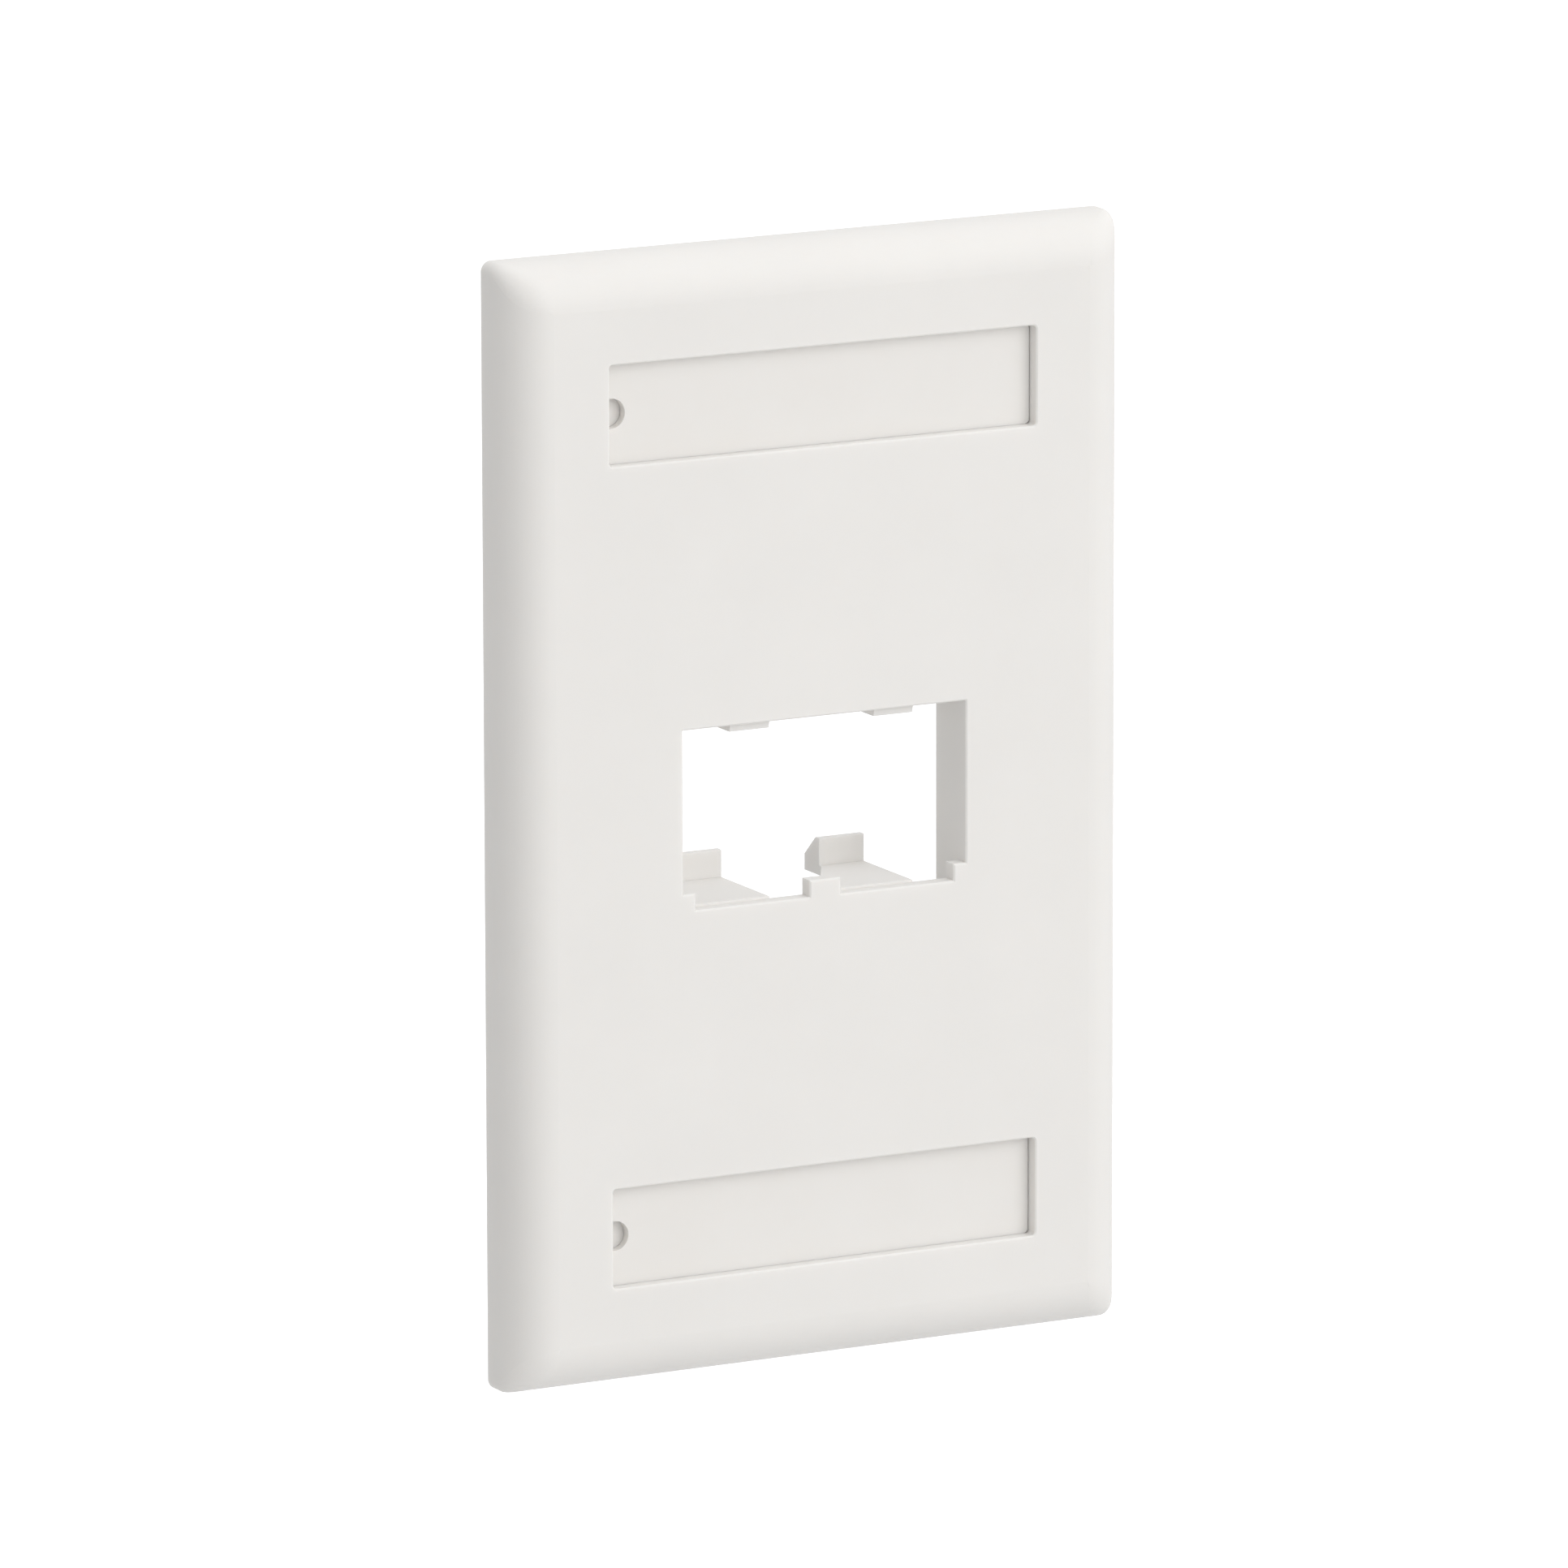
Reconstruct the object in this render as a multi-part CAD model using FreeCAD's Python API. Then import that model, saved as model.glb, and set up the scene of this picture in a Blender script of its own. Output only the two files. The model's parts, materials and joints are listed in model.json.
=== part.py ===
import FreeCAD, Part
import math
import os

# A single-gang wall plate for two snap-in modules, which sit side by side in one shared opening.
# It carries two label covers, and they hide its two mounting screws.
# Millimetres. X runs to the right, Z up and Y into the wall. The origin is the middle of the
# plate on the wall plane, so the front face lies at y = -plate_depth. Every "depth" below is
# measured from that front face towards the wall.

Vector = FreeCAD.Vector
into_wall = Vector(0, 1, 0)
upwards = Vector(0, 0, 1)

# Plate
plate_width = 69.85
plate_height = 114.3
plate_depth = 6.35
edge_radius = 4.85  # quarter round between the front face and the sides
corner_radius = 1.1  # of the outline on the wall
mitre_radius = 4.0  # the blend between two rounded edges, where a corner reaches the front
side_wall = 1.8
panel_thickness = 1.7
edge_break = 0.15  # small bevel round the mouths of the opening and the recesses

# Opening for two modules, and the features that hold each of them
port_pitch = 16.25
opening_width = 32.0
opening_top = 9.3
sill_level = -9.05  # lower edge of the opening, between its tabs
tab_height = 1.7
corner_tab_width = 1.4
centre_tab_width = 3.5
collar_wall = 1.5
collar_drop = 3.3  # how far the side walls of the opening run below its sill

catch_width = 4.4
catch_drop = 0.8
catch_front = 0.7
catch_slant = 0.2
catch_back = 3.5

seat_rise = 0.25  # upper side of the ledges above the sill
post_width = 5.1
post_height = 2.8
post_front = 11.8
post_top_length = 0.85
post_foot_length = 3.2
post_heel = 0.7  # height at which the slope behind a post ends
ledge_thickness = 1.0
ledge_flare = 3.3  # extra width of the ledge to the left of its post
ledge_flare_end = 0.5  # how far the flare narrows on its way to the wall plane
flare_gap = 0.4
gusset_thickness = 1.2
gusset_end = 9.0
gusset_angle = 30.0

# Screws
screw_pitch = 83.34
screw_length = 19.0
thread_radius = 1.75
neck_radius = 1.45
head_radius = 3.4
head_angle = 82.0
dome_height = 1.0
slot_width = 1.1
slot_depth = 0.9
tip_bevel = 0.6
hole_clearance = 0.25
head_clearance = 0.05
boss_wall = 1.5

# Label recesses and their covers
recess_length = 48.0
recess_height = 10.2
recess_corner = 0.4
tray_wall = 1.5
tray_floor = 1.5
counterbore_gap = 0.5  # round the screw head
cover_depth = 1.4  # from the front face to the face of the cover
cover_thickness = 1.0
cover_swing_round = 0.15  # front edge of the right end, which the cover swings on
cover_corner = 0.6
cover_side_gap = 0.05
cover_floor_gap = 0.05
cover_snap_gap = 0.2  # at the left end, which is pried out
cover_swing_gap = 0.06
head_room = 0.2  # between a screw head and its cover
notch_length = 2.2
notch_width = 3.0
bead_radius = 0.15
bead_margin = 0.6
hook_length = 0.9
hook_thickness = 0.5
hook_width = 2.0
hook_spacing = 5.2
hook_side_gap = 0.2
hook_play = 0.55  # room behind a hook for its swing
hook_relief = 0.4  # how far its slot runs into the floor of the recess

# Stiffening ribs behind the front panel
rib_thickness = 1.2
rib_depth = 2.6

overlap = 0.2  # how far pieces of one moulding run into each other before they are fused

# Sizes that follow from the ones above
opening_half = opening_width / 2
seat_level = sill_level + seat_rise
port_centres = (-port_pitch / 2, port_pitch / 2)
screw_heights = {"upper": screw_pitch / 2, "lower": -screw_pitch / 2}
cover_back = cover_depth + cover_thickness
cover_left = cover_snap_gap - recess_length / 2
cover_right = recess_length / 2 - cover_swing_gap
cover_length = cover_right - cover_left
cover_height = recess_height - 2 * cover_side_gap
recess_floor = cover_back + cover_floor_gap
screw_seat = cover_back + head_room + dome_height
hole_radius = thread_radius + hole_clearance
counterbore_radius = head_radius + counterbore_gap
boss_radius = counterbore_radius + boss_wall


def y_at(depth):
    return depth - plate_depth


def block(x_range, depth_range, z_range):
    """Box between two X, two depths and two Z."""
    sizes = [high - low for low, high in (x_range, depth_range, z_range)]
    return Part.makeBox(*sizes, Vector(x_range[0], y_at(depth_range[0]), z_range[0]))


def side_profile(points, x_range):
    """Solid of constant section along X, from (depth, z) points."""
    corners = [Vector(x_range[0], y_at(depth), z) for depth, z in points]
    face = Part.Face(Part.makePolygon(corners + corners[:1]))
    return face.extrude(Vector(x_range[1] - x_range[0], 0, 0))


def plan_profile(points, z_range):
    """Solid of constant section along Z, from (x, depth) points."""
    corners = [Vector(x, y_at(depth), z_range[0]) for x, depth in points]
    face = Part.Face(Part.makePolygon(corners + corners[:1]))
    return face.extrude(Vector(0, 0, z_range[1] - z_range[0]))


def rounded_rectangle(width, height, radius, y, centre_z=0.0):
    """Outline in the plane at y, centred on x = 0."""
    across = width / 2 - radius
    up = height / 2 - radius
    arcs = []
    for quarter, (side, rise) in enumerate(((1, 1), (-1, 1), (-1, -1), (1, -1))):
        points = []
        for share in (0, 0.5, 1):
            angle = math.pi / 2 * (quarter + share)
            x = side * across + radius * math.cos(angle)
            z = centre_z + rise * up + radius * math.sin(angle)
            points.append(Vector(x, y, z))
        arcs.append(Part.Arc(*points).toShape())
    edges = []
    for arc, following in zip(arcs, arcs[1:] + arcs[:1]):
        edges.append(arc)
        edges.append(Part.makeLine(arc.lastVertex().Point, following.firstVertex().Point))
    return Part.Wire(edges)


def cut_through(outline_at, depth):
    """Cutter from in front of the plate down to a depth, with a beveled mouth.

    outline_at(growth, y) gives the outline at y, grown on every side."""
    start = outline_at(0.0, y_at(-overlap))
    cutter = Part.Face(start).extrude(Vector(0, depth + overlap, 0))
    mouth = [outline_at(edge_break, y_at(0)), outline_at(0.0, y_at(edge_break))]
    return cutter.fuse(Part.makeLoft(mouth, True, True))


def crown(width, height, depth, rounding, corner, mitre):
    """Block on the wall plane with a quarter-round front edge.

    Its corners are blended with a radius that grows from corner at the wall to mitre in front."""
    blank = Part.makeBox(width, depth, height, Vector(-width / 2, -depth, -height / 2))
    front = [edge for edge in blank.Edges if edge.BoundBox.YMax < -depth / 2]
    blank = blank.makeFillet(rounding, front)
    creases = [edge for edge in blank.Edges if edge.BoundBox.YMin < rounding / 2 - depth]
    creases = [edge for edge in creases if edge.BoundBox.YLength > rounding / 2]
    return blank.makeFillet(corner, mitre, creases)


def plate_shell():
    outside = crown(
        plate_width, plate_height, plate_depth, edge_radius, corner_radius, mitre_radius
    )
    inside = crown(
        plate_width - 2 * side_wall,
        plate_height - 2 * side_wall,
        plate_depth - panel_thickness,
        edge_radius - panel_thickness,
        corner_radius / 2,
        mitre_radius / 2,
    )
    return outside.cut(inside)


def recess_outline(centre_z):
    def outline_at(growth, y):
        corner = recess_corner + growth
        size = (recess_length + 2 * growth, recess_height + 2 * growth)
        return rounded_rectangle(*size, corner, y, centre_z)

    return outline_at


def tray(centre_z):
    """Shallow tray behind a label recess, with the screw boss under its floor."""
    half_length = recess_length / 2 + tray_wall
    half_height = recess_height / 2 + tray_wall
    floor = block(
        (-half_length, half_length),
        (panel_thickness - overlap, recess_floor + tray_floor),
        (centre_z - half_height, centre_z + half_height),
    )
    boss_start = Vector(0, y_at(recess_floor), centre_z)
    boss_length = plate_depth - recess_floor
    boss = Part.makeCylinder(boss_radius, boss_length, boss_start, into_wall)
    return floor.fuse(boss)


def cone_height(wide, narrow):
    """Length of a screw's countersink between two radii."""
    return (wide - narrow) / math.tan(math.radians(head_angle / 2))


def screw_hole(centre_z):
    """Counterbore for a screw's domed head, the cone that it seats in, and its bore."""
    mouth = Vector(0, y_at(cover_back), centre_z)
    seat = Vector(0, y_at(screw_seat), centre_z)
    wide = head_radius + head_clearance
    counterbore = Part.makeCylinder(counterbore_radius, screw_seat - cover_back, mouth, into_wall)
    cone = Part.makeCone(wide, hole_radius, cone_height(wide, hole_radius), seat, into_wall)
    bore = Part.makeCylinder(hole_radius, plate_depth, seat, into_wall)
    return counterbore.fuse([cone, bore])


def hook_heights(centre_z):
    return [centre_z - hook_spacing / 2, centre_z + hook_spacing / 2]


def hook_slots(centre_z):
    """Windows in the right wall of a tray, for the hooks of its cover."""
    wall = recess_length / 2
    half = hook_width / 2 + hook_side_gap
    slots = []
    for height in hook_heights(centre_z):
        across = (wall - hook_relief, wall + tray_wall + overlap)
        depths = (panel_thickness, cover_back + hook_play)
        slots.append(block(across, depths, (height - half, height + half)))
    return slots


def opening_cutter():
    """The shared opening, with three tabs left standing along its lower edge."""
    tab_top = sill_level + tab_height
    notch_inner = centre_tab_width / 2
    notch_outer = opening_half - corner_tab_width

    def outline_at(growth, y):
        points = [(opening_half + growth, opening_top + growth)]
        points.append((-opening_half - growth, opening_top + growth))
        for inner, outer in ((-notch_outer, -notch_inner), (notch_inner, notch_outer)):
            if inner == -notch_outer:
                points.append((-opening_half - growth, tab_top - growth))
            points.append((inner - growth, tab_top - growth))
            points.append((inner - growth, sill_level - growth))
            points.append((outer + growth, sill_level - growth))
            points.append((outer + growth, tab_top - growth))
        points.append((opening_half + growth, tab_top - growth))
        corners = [Vector(x, y, z) for x, z in points]
        return Part.makePolygon(corners + corners[:1])

    return cut_through(outline_at, panel_thickness + overlap)


def collar():
    """Walls that line the opening at its sides and its top, back to the wall plane."""
    depths = (panel_thickness - overlap, plate_depth)
    outer = opening_half + collar_wall
    top = opening_top + collar_wall
    bottom = sill_level - collar_drop
    walls = [
        block((-outer, -opening_half), depths, (bottom, top)),
        block((opening_half, outer), depths, (bottom, top)),
        block((-outer, outer), depths, (opening_top, top)),
    ]
    return walls


def catch(centre_x):
    """Small tooth under the upper edge, which the top of a module hooks behind."""
    root = opening_top + overlap
    point = opening_top - catch_drop
    points = [
        (catch_front, root),
        (catch_front, opening_top),
        (catch_front + catch_slant, point),
        (catch_back, point),
        (catch_back, root),
    ]
    return side_profile(points, (centre_x - catch_width / 2, centre_x + catch_width / 2))


def bracket(centre_x):
    """Ledge behind the lower edge with a wedge post at its end, for a module's latch."""
    left = centre_x - post_width / 2
    right = centre_x + post_width / 2
    root = panel_thickness - overlap
    post_end = post_front + post_foot_length
    flare_left = left - ledge_flare
    ledge_under = seat_level - ledge_thickness
    ledge = plan_profile(
        [
            (right, root),
            (right, post_end),
            (left, post_end),
            (left, post_front - flare_gap),
            (flare_left + ledge_flare_end, plate_depth),
            (flare_left, root),
        ],
        (ledge_under, seat_level),
    )
    post = side_profile(
        [
            (post_front, seat_level - overlap),
            (post_front, seat_level + post_height),
            (post_front + post_top_length, seat_level + post_height),
            (post_end, seat_level + post_heel),
            (post_end, seat_level - overlap),
        ],
        (left, right),
    )
    gusset_drop = (gusset_end - root) * math.tan(math.radians(gusset_angle))
    gusset = [
        (root, ledge_under + overlap),
        (gusset_end, ledge_under + overlap),
        (gusset_end, ledge_under),
        (root, ledge_under - gusset_drop),
    ]
    pieces = [ledge, post]
    for start in (left, right - gusset_thickness):
        pieces.append(side_profile(gusset, (start, start + gusset_thickness)))
    return pieces


def ribs():
    """Upright ribs between the collar and the trays, and short ones beside the trays."""
    depths = (panel_thickness - overlap, panel_thickness + rib_depth)
    tray_edge = screw_pitch / 2 - recess_height / 2 - tray_wall
    spans = {
        "above": (opening_top + collar_wall - overlap, tray_edge + overlap),
        "below": (-tray_edge - overlap, sill_level - collar_drop + overlap),
    }
    pieces = []
    for side in (-1, 1):
        middle = side * (opening_half + collar_wall / 2)
        across = (middle - rib_thickness / 2, middle + rib_thickness / 2)
        for span in spans.values():
            pieces.append(block(across, depths, span))
        start = recess_length / 2 + tray_wall - overlap
        end = plate_width / 2 - side_wall + overlap
        lengthwise = sorted((side * start, side * end))
        for centre_z in screw_heights.values():
            height = (centre_z - rib_thickness / 2, centre_z + rib_thickness / 2)
            pieces.append(block(lengthwise, depths, height))
    return pieces


def faceplate():
    additions = collar() + ribs()
    for centre_x in port_centres:
        additions.append(catch(centre_x))
        additions += bracket(centre_x)
    for centre_z in screw_heights.values():
        additions.append(tray(centre_z))
    body = plate_shell().cut(opening_cutter())
    body = body.fuse(additions)
    removals = []
    for centre_z in screw_heights.values():
        removals.append(cut_through(recess_outline(centre_z), recess_floor))
        removals.append(screw_hole(centre_z))
        removals += hook_slots(centre_z)
    return body.cut(removals).removeSplitter()


def label_cover(centre_z):
    """Cover plate with a pry notch at its left end and two hooks at its right end.

    It swings about the middle of its rounded right edge while the notch end is pried out."""
    middle = (cover_left + cover_right) / 2
    size = (cover_length, cover_height)
    outline = rounded_rectangle(*size, cover_corner, y_at(cover_depth), centre_z)
    cover = Part.Face(outline).extrude(Vector(0, cover_thickness, 0))
    cover.translate(Vector(middle, 0, 0))
    square_edge = block(
        (cover_right - cover_swing_round, cover_right + overlap),
        (cover_depth - overlap, cover_depth + cover_swing_round),
        (centre_z - cover_height, centre_z + cover_height),
    )
    swing_axis = Vector(
        cover_right - cover_swing_round,
        y_at(cover_depth + cover_swing_round),
        centre_z - cover_height,
    )
    round_edge = Part.makeCylinder(cover_swing_round, 2 * cover_height, swing_axis, upwards)
    cover = cover.cut(square_edge.cut(round_edge))
    additions = []
    for height in hook_heights(centre_z):
        hook_x = (cover_right - overlap, cover_right + hook_length)
        hook_depths = (cover_back - hook_thickness, cover_back)
        hook_z = (height - hook_width / 2, height + hook_width / 2)
        additions.append(block(hook_x, hook_depths, hook_z))
    bead_length = (cover_height - notch_width) / 2 - 2 * bead_margin
    bead_depth = cover_depth + cover_thickness / 2
    for bead_foot in (bead_margin - cover_height / 2, notch_width / 2 + bead_margin):
        start = Vector(cover_left, y_at(bead_depth), centre_z + bead_foot)
        additions.append(Part.makeCylinder(bead_radius, bead_length, start, upwards))
    notch_radius = notch_width / 2
    notch_end = cover_left + notch_length - notch_radius
    notch_depths = (cover_depth - overlap, cover_back + overlap)
    notch_z = (centre_z - notch_radius, centre_z + notch_radius)
    notch = block((cover_left - overlap, notch_end), notch_depths, notch_z)
    notch_centre = Vector(notch_end, y_at(cover_depth - overlap), centre_z)
    notch_run = cover_thickness + 2 * overlap
    notch = notch.fuse(Part.makeCylinder(notch_radius, notch_run, notch_centre, into_wall))
    return cover.fuse(additions).cut(notch).removeSplitter()


def mounting_screw(centre_z):
    """Oval-head slotted screw, with a thin neck where it passes through the plate."""
    dome_radius = (head_radius**2 + dome_height**2) / (2 * dome_height)
    seat = y_at(screw_seat)
    neck_start = seat + cone_height(head_radius, neck_radius)
    tip = seat + screw_length
    half_angle = math.asin(head_radius / dome_radius) / 2
    dome_middle = Vector(
        dome_radius * math.sin(half_angle),
        seat - dome_height + dome_radius * (1 - math.cos(half_angle)),
        0,
    )
    dome = Part.Arc(Vector(0, seat - dome_height, 0), dome_middle, Vector(head_radius, seat, 0))
    steps = [
        (head_radius, seat),
        (neck_radius, neck_start),
        (neck_radius, 0.0),
        (thread_radius, 0.0),
        (thread_radius, tip - tip_bevel),
        (thread_radius - tip_bevel, tip),
        (0.0, tip),
        (0.0, seat - dome_height),
    ]
    corners = [Vector(radius, y, 0) for radius, y in steps]
    profile = Part.Wire([dome.toShape()] + Part.makePolygon(corners).Edges)
    screw = Part.Face(profile).revolve(Vector(0, 0, 0), into_wall, 360)
    half_slot = slot_width / 2
    slot = Part.makeBox(
        2 * head_radius,
        slot_depth + overlap,
        slot_width,
        Vector(-head_radius, seat - dome_height - overlap, -half_slot),
    )
    screw = screw.cut(slot)
    screw.translate(Vector(0, 0, centre_z))
    return screw


nodes = {"faceplate": faceplate()}
for place, height in screw_heights.items():
    nodes[place + "_label_cover"] = label_cover(height)
    nodes[place + "_mounting_screw"] = mounting_screw(height)

os.makedirs("parts", exist_ok=True)
for name, shape in nodes.items():
    if not shape.isValid() or len(shape.Solids) != 1:
        raise ValueError(name + " is not one valid solid")
    shape.Solids[0].exportStep("parts/" + name + ".step")
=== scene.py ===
import json
import math

import bmesh
import bpy
from mathutils import Matrix, Vector


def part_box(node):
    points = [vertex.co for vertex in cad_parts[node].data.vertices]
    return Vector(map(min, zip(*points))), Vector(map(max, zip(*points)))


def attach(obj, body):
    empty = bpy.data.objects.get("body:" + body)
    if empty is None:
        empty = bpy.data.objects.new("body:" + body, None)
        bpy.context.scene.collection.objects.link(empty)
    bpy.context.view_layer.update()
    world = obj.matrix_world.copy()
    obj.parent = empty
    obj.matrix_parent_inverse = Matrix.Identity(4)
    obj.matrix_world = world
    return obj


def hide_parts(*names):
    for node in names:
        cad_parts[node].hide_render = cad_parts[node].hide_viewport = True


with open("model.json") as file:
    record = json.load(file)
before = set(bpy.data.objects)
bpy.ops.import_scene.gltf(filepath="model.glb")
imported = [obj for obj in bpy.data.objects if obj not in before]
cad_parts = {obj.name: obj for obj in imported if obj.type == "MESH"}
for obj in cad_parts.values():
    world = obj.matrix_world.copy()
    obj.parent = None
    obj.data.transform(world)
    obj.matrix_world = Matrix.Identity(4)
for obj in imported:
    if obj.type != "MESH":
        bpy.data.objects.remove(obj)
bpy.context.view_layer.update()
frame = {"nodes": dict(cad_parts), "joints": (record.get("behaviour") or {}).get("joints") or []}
MM = 0.001

# The plate's lowest corner, which sets the level of the floor.
plate_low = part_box("faceplate")[0]

# Camera: where it stands round the plate, and how far it is turned.
VIEW_AZIMUTH = -27.9
VIEW_ELEVATION = 11.83
VIEW_ROLL = -0.12
VIEW_DISTANCE = 1424.8 * MM
VIEW_LENS_MM = 326.5
SENSOR_WIDTH_MM = 36.0
NEAREST_SEEN = 50 * MM
AIM_RIGHT = -1.17 * MM
AIM_UP = 1.15 * MM

# Points nearer than MERGE are one point, and faces that meet at more than SHARP_ANGLE an edge.
MERGE = 1e-7
SHARP_ANGLE = math.radians(35)

# No. 6-32 oval-head screws.
THREAD_PITCH = 25.4 / 32 * MM
THREAD_FLANK_ANGLE = math.radians(30)
THREAD_RADIUS = 1.75 * MM
THREAD_ROOT_RADIUS = 1.32 * MM
HEAD_DOME = 1.0 * MM
HEAD_ANGLE = math.radians(82)
SLOT_WIDTH = 1.1 * MM
SLOT_DEPTH = 0.9 * MM
TIP_BEVEL = 0.6 * MM
SCREW_SIDES = 40
DOME_STEPS = 8

# How far a cover pressed home closes the running gaps round it, the radius of the front edge that
# it swings on, and how near to a face or to that edge's end a point has to lie to count as on it.
COVER_SEAT = 0.045 * MM
COVER_ROUND = 0.15 * MM
COVER_NEAR = 0.001 * MM

# Studio, with lengths in metres and power in watts: a floor well below the plate, which hangs as
# it would on its wall, two round soft lamps, and an even light from all round.
FLOOR_DROP = 300 * MM
FLOOR_SIZE = 12.0
FLOOR_LIFT = 0.7
SOFTBOX_DISTANCE = 2.0
SOFTBOX_SIZE = 2.2
SOFTBOXES = {
    "key_light": {"towards": (0.40, -0.80, 0.44), "power": 19.8},
    "top_light": {"towards": (0.0, 0.1, 0.99), "power": 9.0},
}
WORLD_LEVEL = 0.632

# Sizes of the patterns in the finishes, and the most that a finish stands out of its surface.
FLOW_CLOUD = 12 * MM
MOULD_GRAIN = 0.5 * MM
ZINC_MOTTLE = 1.5 * MM
ENAMEL_PEEL = 0.6 * MM
RELIEF_DEPTH = 0.02 * MM


def srgb(hex_code):
    """Linear RGBA from an sRGB hex code."""
    parts = [int(hex_code[i : i + 2], 16) / 255 for i in (1, 3, 5)]
    linear = [p / 12.92 if p <= 0.04045 else ((p + 0.055) / 1.055) ** 2.4 for p in parts]
    return (*linear, 1.0)


def add_node(tree, kind, inputs=None, **settings):
    """Adds a node with its settings, and sets each input or links a socket to it."""
    node = tree.nodes.new(kind)
    for name, value in settings.items():
        setattr(node, name, value)
    for name, value in (inputs or {}).items():
        if isinstance(value, bpy.types.NodeSocket):
            tree.links.new(value, node.inputs[name])
        else:
            node.inputs[name].default_value = value
    return node


def add_object(name, data):
    """Adds an object with this data to the scene, at the origin."""
    thing = bpy.data.objects.new(name, data)
    bpy.context.collection.objects.link(thing)
    return thing


def new_material(name):
    """Material with an empty node tree, and that tree."""
    material = bpy.data.materials.new(name)
    material.use_nodes = True
    material.node_tree.nodes.clear()
    return material, material.node_tree


def moulded_abs(name, colour, shade):
    """Injection-moulded ABS: an even off-white with a satin skin, from a lightly textured mould."""
    material, tree = new_material(name)
    place = add_node(tree, "ShaderNodeTexCoord").outputs["Object"]
    # Faint flow clouds, as pigment leaves in a thin moulding.
    clouds = add_node(
        tree, "ShaderNodeTexNoise", {"Vector": place, "Scale": 1 / FLOW_CLOUD, "Detail": 2.0}
    )
    tint = add_node(
        tree,
        "ShaderNodeMix",
        {"Factor": clouds.outputs["Fac"], "A": srgb(colour), "B": srgb(shade)},
        data_type="RGBA",
    )
    # A real mould's grain is finer: this is just coarse enough to show.
    grain = add_node(
        tree, "ShaderNodeTexNoise", {"Vector": place, "Scale": 1 / MOULD_GRAIN, "Detail": 3.0}
    )
    relief = add_node(
        tree,
        "ShaderNodeBump",
        {"Height": grain.outputs["Fac"], "Strength": 0.12, "Distance": RELIEF_DEPTH},
    )
    gloss = add_node(
        tree, "ShaderNodeMapRange", {"Value": clouds.outputs["Fac"], "To Min": 0.52, "To Max": 0.6}
    )
    skin = add_node(
        tree,
        "ShaderNodeBsdfPrincipled",
        {
            "Base Color": tint.outputs["Result"],
            "Roughness": gloss.outputs["Result"],
            "IOR": 1.53,
            "Specular IOR Level": 0.3,
            "Subsurface Weight": 0.5,
            "Subsurface Radius": (1.0, 0.95, 0.9),
            "Subsurface Scale": 0.8 * MM,
            "Normal": relief.outputs["Normal"],
        },
    )
    add_node(tree, "ShaderNodeOutputMaterial", {"Surface": skin.outputs["BSDF"]})
    return material


def zinc_plated_steel():
    """Machined steel with bright zinc plating: a greyish mirror, dulled and a little mottled."""
    material, tree = new_material("zinc_plated_steel")
    place = add_node(tree, "ShaderNodeTexCoord").outputs["Object"]
    mottle = add_node(
        tree, "ShaderNodeTexNoise", {"Vector": place, "Scale": 1 / ZINC_MOTTLE, "Detail": 4.0}
    )
    tint = add_node(
        tree,
        "ShaderNodeMix",
        {"Factor": mottle.outputs["Fac"], "A": srgb("#C9CACB"), "B": srgb("#B4B6B9")},
        data_type="RGBA",
    )
    gloss = add_node(
        tree, "ShaderNodeMapRange", {"Value": mottle.outputs["Fac"], "To Min": 0.25, "To Max": 0.42}
    )
    skin = add_node(
        tree,
        "ShaderNodeBsdfPrincipled",
        {
            "Base Color": tint.outputs["Result"],
            "Roughness": gloss.outputs["Result"],
            "Metallic": 1.0,
        },
    )
    add_node(tree, "ShaderNodeOutputMaterial", {"Surface": skin.outputs["BSDF"]})
    return material


def head_enamel():
    """Baked enamel on a screw's head: the plate's off-white, glossier and finely orange-peeled."""
    material, tree = new_material("baked_enamel")
    place = add_node(tree, "ShaderNodeTexCoord").outputs["Object"]
    peel = add_node(
        tree, "ShaderNodeTexNoise", {"Vector": place, "Scale": 1 / ENAMEL_PEEL, "Detail": 2.0}
    )
    tint = add_node(
        tree,
        "ShaderNodeMix",
        {"Factor": peel.outputs["Fac"], "A": srgb("#EDEBE7"), "B": srgb("#E6E3DE")},
        data_type="RGBA",
    )
    relief = add_node(
        tree,
        "ShaderNodeBump",
        {"Height": peel.outputs["Fac"], "Strength": 0.2, "Distance": RELIEF_DEPTH},
    )
    gloss = add_node(
        tree, "ShaderNodeMapRange", {"Value": peel.outputs["Fac"], "To Min": 0.22, "To Max": 0.32}
    )
    skin = add_node(
        tree,
        "ShaderNodeBsdfPrincipled",
        {
            "Base Color": tint.outputs["Result"],
            "Roughness": gloss.outputs["Result"],
            "IOR": 1.5,
            "Normal": relief.outputs["Normal"],
        },
    )
    add_node(tree, "ShaderNodeOutputMaterial", {"Surface": skin.outputs["BSDF"]})
    return material


def seen_directly(tree):
    """1 on rays that show what they meet: from the camera, or by a reflection or through glass."""
    path = add_node(tree, "ShaderNodeLightPath")
    seen = path.outputs["Is Camera Ray"]
    for kind in ("Is Glossy Ray", "Is Transmission Ray"):
        seen = add_node(
            tree, "ShaderNodeMath", {0: seen, 1: path.outputs[kind]}, operation="MAXIMUM"
        ).outputs[0]
    return seen


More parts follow.
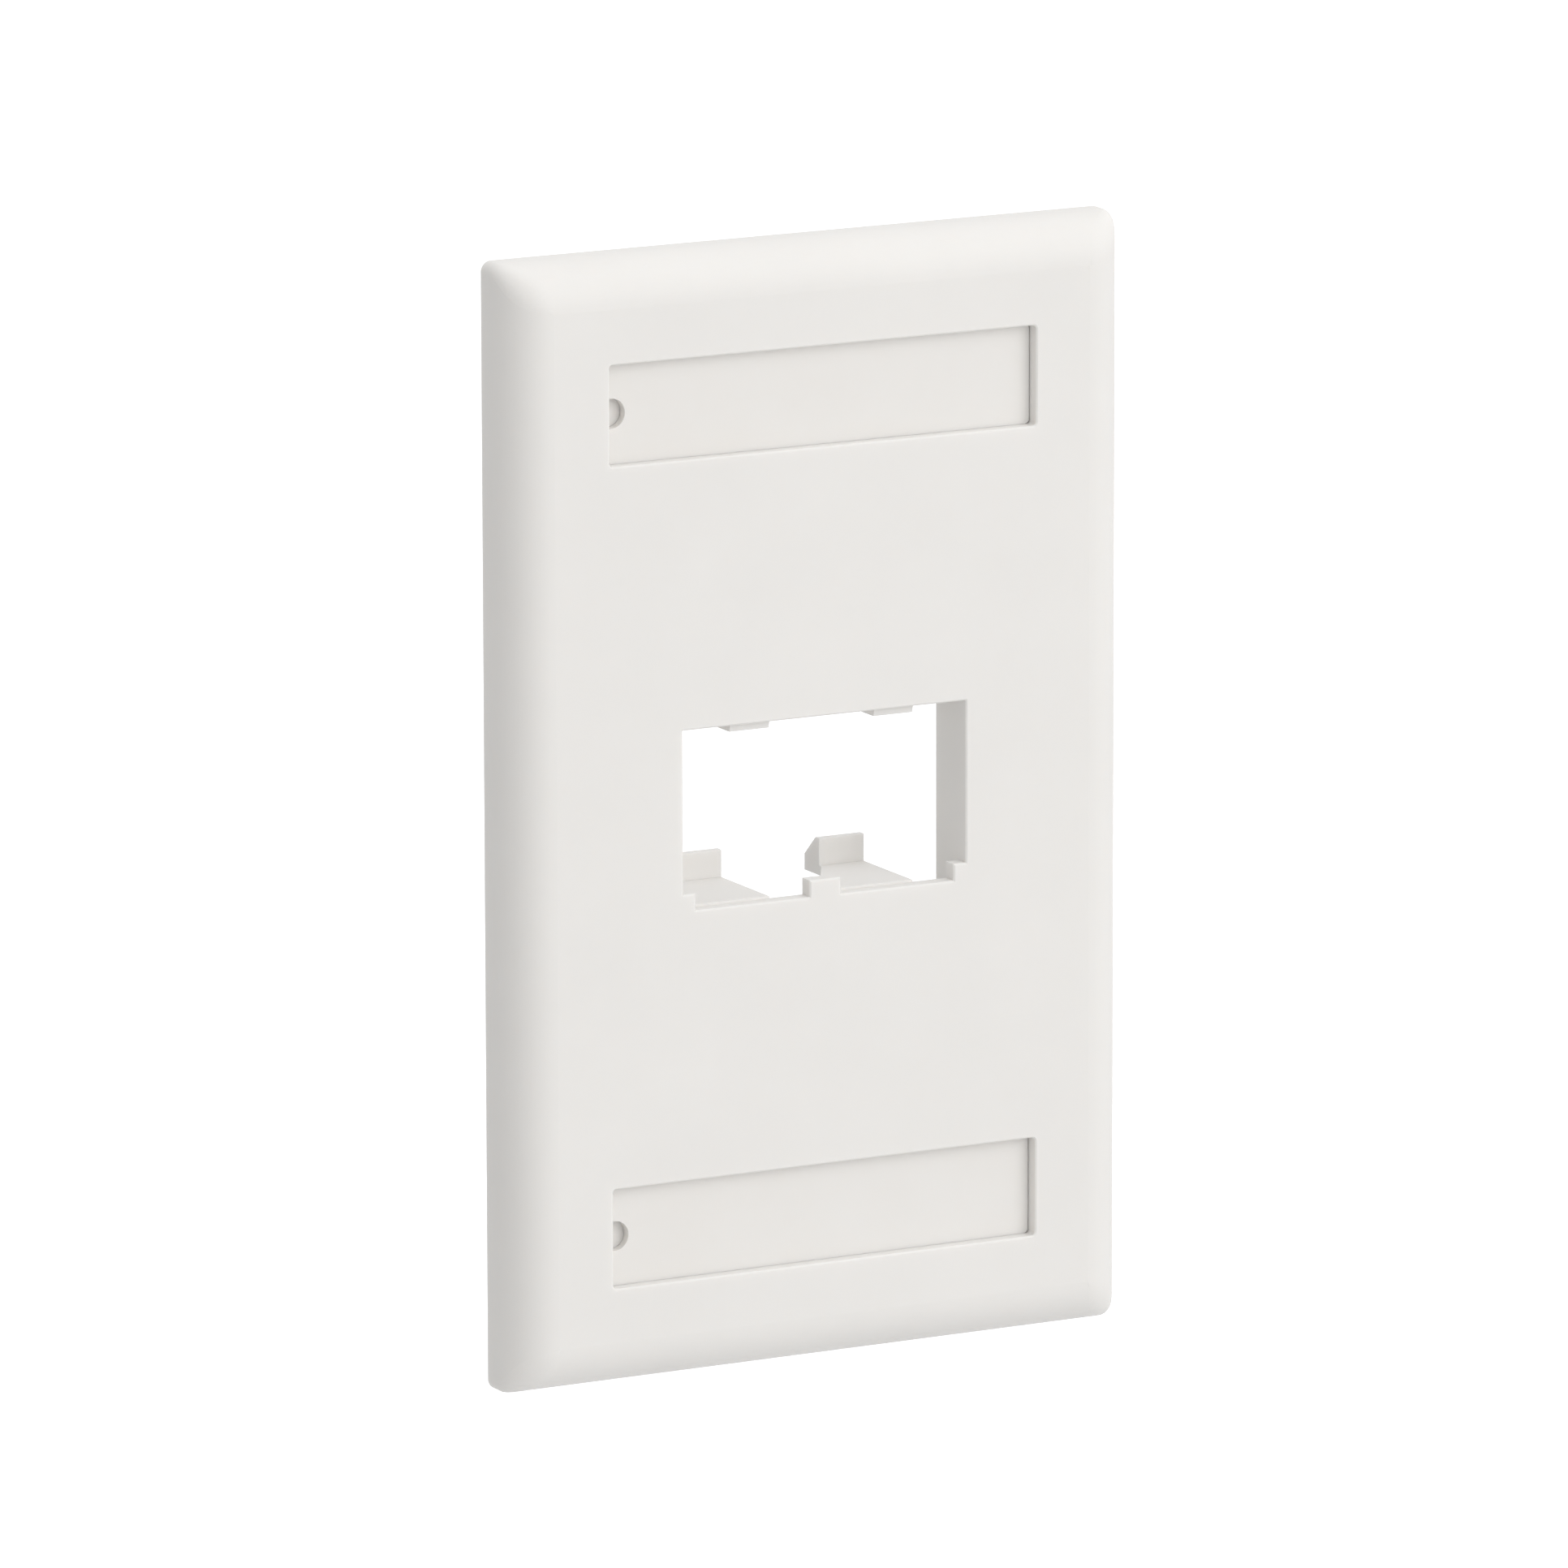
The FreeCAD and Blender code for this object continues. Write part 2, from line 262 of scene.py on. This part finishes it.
def studio_floor_material():
    """Pale floor that reads as white where it is lit, and still takes the plate's shadow."""
    material, tree = new_material("studio_floor")
    seen = seen_directly(tree)
    lift = add_node(tree, "ShaderNodeMath", {0: seen, 1: FLOOR_LIFT}, operation="MULTIPLY")
    paint = add_node(tree, "ShaderNodeBsdfDiffuse", {"Color": srgb("#E1E1E1")})
    glow = add_node(tree, "ShaderNodeEmission", {"Strength": lift.outputs[0]})
    both = add_node(tree, "ShaderNodeAddShader", {0: paint.outputs[0], 1: glow.outputs[0]})
    add_node(tree, "ShaderNodeOutputMaterial", {"Surface": both.outputs[0]})
    return material


def studio_world():
    """Even soft light from all round, seen as white behind the plate."""
    world = bpy.data.worlds.new("studio")
    bpy.context.scene.world = world
    world.use_nodes = True
    tree = world.node_tree
    tree.nodes.clear()
    level = add_node(
        tree,
        "ShaderNodeMapRange",
        {"Value": seen_directly(tree), "To Min": WORLD_LEVEL, "To Max": 1.0},
    )
    sky = add_node(
        tree,
        "ShaderNodeBackground",
        {"Color": srgb("#FFFFFF"), "Strength": level.outputs["Result"]},
    )
    add_node(tree, "ShaderNodeOutputWorld", {"Surface": sky.outputs[0]})


def studio_floor():
    """Wide level floor under the plate."""
    mesh = bmesh.new()
    bmesh.ops.create_grid(mesh, x_segments=1, y_segments=1, size=FLOOR_SIZE / 2)
    bmesh.ops.translate(mesh, verts=mesh.verts, vec=(0, 0, plate_low[2] - FLOOR_DROP))
    data = bpy.data.meshes.new("studio_floor")
    mesh.to_mesh(data)
    mesh.free()
    data.materials.append(studio_floor_material())
    floor = add_object("studio_floor", data)


def softbox(name, towards, power):
    """Round soft lamp that faces the middle of the plate."""
    lamp = bpy.data.lights.new(name, "AREA")
    lamp.shape = "DISK"
    lamp.size = SOFTBOX_SIZE
    lamp.energy = power
    light = add_object(name, lamp)
    light.location = Vector(towards).normalized() * SOFTBOX_DISTANCE
    light.rotation_euler = Vector(towards).to_track_quat("Z", "Y").to_euler()


def camera():
    """Camera to the plate's left and a little above it, aimed close beside the plate's middle."""
    azimuth, elevation, roll = (
        math.radians(angle) for angle in (VIEW_AZIMUTH, VIEW_ELEVATION, VIEW_ROLL)
    )
    away = Vector(
        (
            math.sin(azimuth) * math.cos(elevation),
            -math.cos(azimuth) * math.cos(elevation),
            math.sin(elevation),
        )
    )
    turn = away.to_track_quat("Z", "Y").to_matrix() @ Matrix.Rotation(roll, 3, "Z")
    place = turn @ Vector((AIM_RIGHT, AIM_UP, VIEW_DISTANCE))
    data = bpy.data.cameras.new("camera")
    data.lens = VIEW_LENS_MM
    data.sensor_width = SENSOR_WIDTH_MM
    data.clip_start = NEAREST_SEEN
    seat = add_object("camera", data)
    seat.matrix_world = Matrix.Translation(place) @ turn.to_4x4()
    bpy.context.scene.camera = seat


def screw_head(mesh, head_radius, top):
    """Oval head with a straight slot, closed, turned round the Y axis from one section.
    Returns the Y at which its neck ends."""
    dome_radius = (head_radius**2 + HEAD_DOME**2) / (2 * HEAD_DOME)
    dome_angle = math.asin(head_radius / dome_radius)
    section = []
    for step in range(DOME_STEPS + 1):
        angle = dome_angle * step / DOME_STEPS
        section.append((dome_radius * math.sin(angle), top + dome_radius * (1 - math.cos(angle))))
    cone = (head_radius - THREAD_ROOT_RADIUS) / math.tan(HEAD_ANGLE / 2)
    neck = top + HEAD_DOME + cone
    section += [(THREAD_ROOT_RADIUS, neck), (0.0, neck)]
    verts = [mesh.verts.new((radius, y, 0.0)) for radius, y in section]
    edges = [mesh.edges.new(pair) for pair in zip(verts, verts[1:])]
    bmesh.ops.spin(
        mesh,
        geom=verts + edges,
        cent=(0, 0, 0),
        axis=(0, 1, 0),
        angle=math.tau,
        steps=SCREW_SIDES,
        use_merge=True,
    )
    bmesh.ops.remove_doubles(mesh, verts=mesh.verts, dist=MERGE)
    slot_floor = top + SLOT_DEPTH
    cuts = [((0, 0, side * SLOT_WIDTH / 2), (0, 0, 1)) for side in (-1, 1)]
    cuts.append(((0, slot_floor, 0), (0, 1, 0)))
    for place, normal in cuts:
        everything = mesh.verts[:] + mesh.edges[:] + mesh.faces[:]
        bmesh.ops.bisect_plane(mesh, geom=everything, dist=MERGE, plane_co=place, plane_no=normal)
    band = []
    for face in mesh.faces:
        middle = face.calc_center_median()
        if abs(middle.z) < SLOT_WIDTH / 2 and middle.y < slot_floor:
            band.append(face)
    sunk = bmesh.ops.extrude_face_region(mesh, geom=band)["geom"]
    sunk = [part for part in sunk if isinstance(part, bmesh.types.BMVert)]
    bmesh.ops.delete(mesh, geom=band, context="FACES")
    level = Matrix.Translation((0, -slot_floor, 0))
    bmesh.ops.scale(mesh, vec=(1, 0, 1), space=level, verts=sunk)
    bmesh.ops.remove_doubles(mesh, verts=mesh.verts, dist=MERGE)
    return neck


def screw_thread(mesh, start, tip):
    """Rolled 60 degree thread from one section of one pitch, wound round the Y axis."""
    flank = (THREAD_RADIUS - THREAD_ROOT_RADIUS) * math.tan(THREAD_FLANK_ANGLE)
    flat = THREAD_PITCH / 2 - flank
    section = [
        (THREAD_ROOT_RADIUS, 0.0),
        (THREAD_ROOT_RADIUS, flat),
        (THREAD_RADIUS, flat + flank),
        (THREAD_RADIUS, 2 * flat + flank),
        (THREAD_ROOT_RADIUS, THREAD_PITCH),
    ]
    # It is wound from two turns early to a turn late, and both ends are then cut off square.
    first = start - 2 * THREAD_PITCH
    turns = math.ceil((tip - first) / THREAD_PITCH) + 1
    verts = [mesh.verts.new((radius, first + y, 0.0)) for radius, y in section]
    edges = [mesh.edges.new(pair) for pair in zip(verts, verts[1:])]
    bmesh.ops.spin(
        mesh,
        geom=verts + edges,
        cent=(0, 0, 0),
        axis=(0, 1, 0),
        dvec=(0, THREAD_PITCH / SCREW_SIDES, 0),
        angle=math.tau * turns,
        steps=SCREW_SIDES * turns,
    )
    bmesh.ops.remove_doubles(mesh, verts=mesh.verts, dist=MERGE)
    for place, normal in (((0, start, 0), (0, -1, 0)), ((0, tip - TIP_BEVEL, 0), (0, 1, 0))):
        everything = mesh.verts[:] + mesh.edges[:] + mesh.faces[:]
        bmesh.ops.bisect_plane(
            mesh, geom=everything, dist=MERGE, plane_co=place, plane_no=normal, clear_outer=True
        )
    rims = [edge for edge in mesh.edges if edge.is_boundary]
    caps = bmesh.ops.holes_fill(mesh, edges=rims, sides=0)["faces"]
    end = [face for face in caps if face.calc_center_median().y > (start + tip) / 2]
    point = bmesh.ops.extrude_face_region(mesh, geom=end)["geom"]
    point = [part for part in point if isinstance(part, bmesh.types.BMVert)]
    bmesh.ops.delete(mesh, geom=end, context="FACES")
    narrow = 1 - TIP_BEVEL / THREAD_RADIUS
    bmesh.ops.scale(mesh, vec=(narrow, 1, narrow), verts=point)
    bmesh.ops.translate(mesh, vec=(0, TIP_BEVEL, 0), verts=point)


def mounting_screw(place, paint, steel):
    """No. 6-32 oval-head screw: a painted slotted head, and a rolled thread up to it."""
    node = place + "_mounting_screw"
    low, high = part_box(node)
    head, screw = bmesh.new(), bmesh.new()
    neck = screw_head(head, (high[0] - low[0]) / 2, low[1])
    screw_thread(screw, neck - THREAD_PITCH, high[1])
    for index, part in enumerate((head, screw)):
        bmesh.ops.recalc_face_normals(part, faces=part.faces)
        for face in part.faces:
            face.material_index = index
            face.smooth = True
    data = bpy.data.meshes.new(place + "_oval_screw")
    head.to_mesh(data)
    screw.from_mesh(data)
    bmesh.ops.translate(screw, verts=screw.verts, vec=(0, 0, (low[2] + high[2]) / 2))
    screw.to_mesh(data)
    head.free()
    screw.free()
    data.set_sharp_from_angle(angle=SHARP_ANGLE)
    data.materials.append(paint)
    data.materials.append(steel)
    piece = add_object(place + "_oval_screw", data)
    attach(piece, "plate")
    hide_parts(node)


def pressed_cover(place, plastic):
    """Label cover as it sits pressed home: on the lower wall of its recess, up against the wall
    at its hooks, and with its notch end down on the floor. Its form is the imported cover's."""
    node = place + "_label_cover"
    low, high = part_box(node)
    middle = (low[2] + high[2]) / 2
    swings = {joint["name"]: joint for joint in frame["joints"]}
    swing_x = swings[place + "_cover_swing"]["pos_m"][0]
    mesh = bmesh.new()
    mesh.from_mesh(frame["nodes"][node].data)
    bmesh.ops.remove_doubles(mesh, verts=mesh.verts, dist=MERGE)
    for vert in mesh.verts:
        point = vert.co
        if point.z < middle:
            point.z -= COVER_SEAT * (middle - point.z) / (middle - low[2])
        if point.y > high[1] - COVER_NEAR:
            point.y += COVER_SEAT * (swing_x - point.x) / (swing_x - low[0])
        if swing_x < point.x < swing_x + COVER_ROUND + COVER_NEAR:
            point.x += COVER_SEAT * (point.x - swing_x) / COVER_ROUND
    data = bpy.data.meshes.new(place + "_pressed_cover")
    mesh.to_mesh(data)
    mesh.free()
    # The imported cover's own normals don't fit the merged mesh.
    data.attributes.remove(data.attributes["custom_normal"])
    data.set_sharp_from_angle(angle=SHARP_ANGLE)
    data.materials.append(plastic)
    piece = add_object(place + "_pressed_cover", data)
    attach(piece, place + "_cover")
    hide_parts(node)


def dress(node, material):
    """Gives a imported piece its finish."""
    slots = frame["nodes"][node].data.materials
    slots.clear()
    slots.append(material)


bpy.context.scene.view_settings.view_transform = "Standard"
plate_plastic = moulded_abs("moulded_abs_plate", "#EBE9E6", "#E7E5E2")
cover_plastic = moulded_abs("moulded_abs_cover", "#EBE9E6", "#E8E5E1")
paint = head_enamel()
steel = zinc_plated_steel()
dress("faceplate", plate_plastic)
for place in ("upper", "lower"):
    dress(place + "_label_cover", cover_plastic)
    pressed_cover(place, cover_plastic)
    dress(place + "_mounting_screw", steel)
    mounting_screw(place, paint, steel)
studio_world()
studio_floor()
for name, lamp in SOFTBOXES.items():
    softbox(name, **lamp)
camera()
